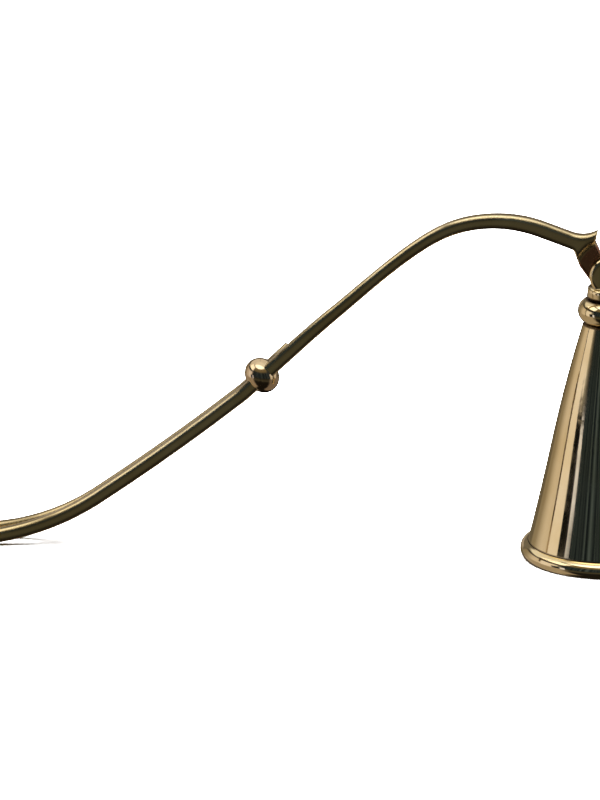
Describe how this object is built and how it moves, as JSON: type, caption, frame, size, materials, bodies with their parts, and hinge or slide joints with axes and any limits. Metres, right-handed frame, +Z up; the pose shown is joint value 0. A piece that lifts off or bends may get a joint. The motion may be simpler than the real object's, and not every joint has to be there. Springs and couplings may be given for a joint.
{
  "type": "candle snuffer",
  "caption": "Polished brass candle snuffer: a beaded conical bell hinged in a forked yoke to a long arched handle folded from one bar.",
  "frame": {"origin": "centre of the bell's mouth, on the surface that the rim stands on", "axes": "+Z up the bell's axis; the handle runs from the hinge towards -X; the hinge pin lies along Y"},
  "size_m": [0.1751, 0.0392, 0.079],
  "materials": {
    "bell_brass": "polished, fine spinning lines round the axis",
    "bead_brass": "polished",
    "turned_brass": "polished, turned",
    "yoke_brass": "polished, with dark tarnish in the slot and the neck groove",
    "bar_brass": "polished, drawn lengthwise",
    "ball_brass": "polished, turned",
    "pin_brass": "polished, riveted",
    "fastener_brass": "dull, as machined"
  },
  "bodies": {
    "handle": {"handle_rod": "bar_brass", "ball_collar": "ball_brass"},
    "bell": {"snuffer_cone": "bell_brass", "rim_bead": "bead_brass", "knob": "turned_brass", "yoke": "yoke_brass", "stem_washer": "fastener_brass", "stem_nut": "fastener_brass", "pivot_pin": "pin_brass"}
  },
  "joints": [
    {"name": "bell_swing", "type": "hinge", "parent": "handle", "child": "bell", "pos_m": [0, 0, 0.0656], "axis": [0, 1, 0], "range_deg": [-145, 55]}
  ]
}
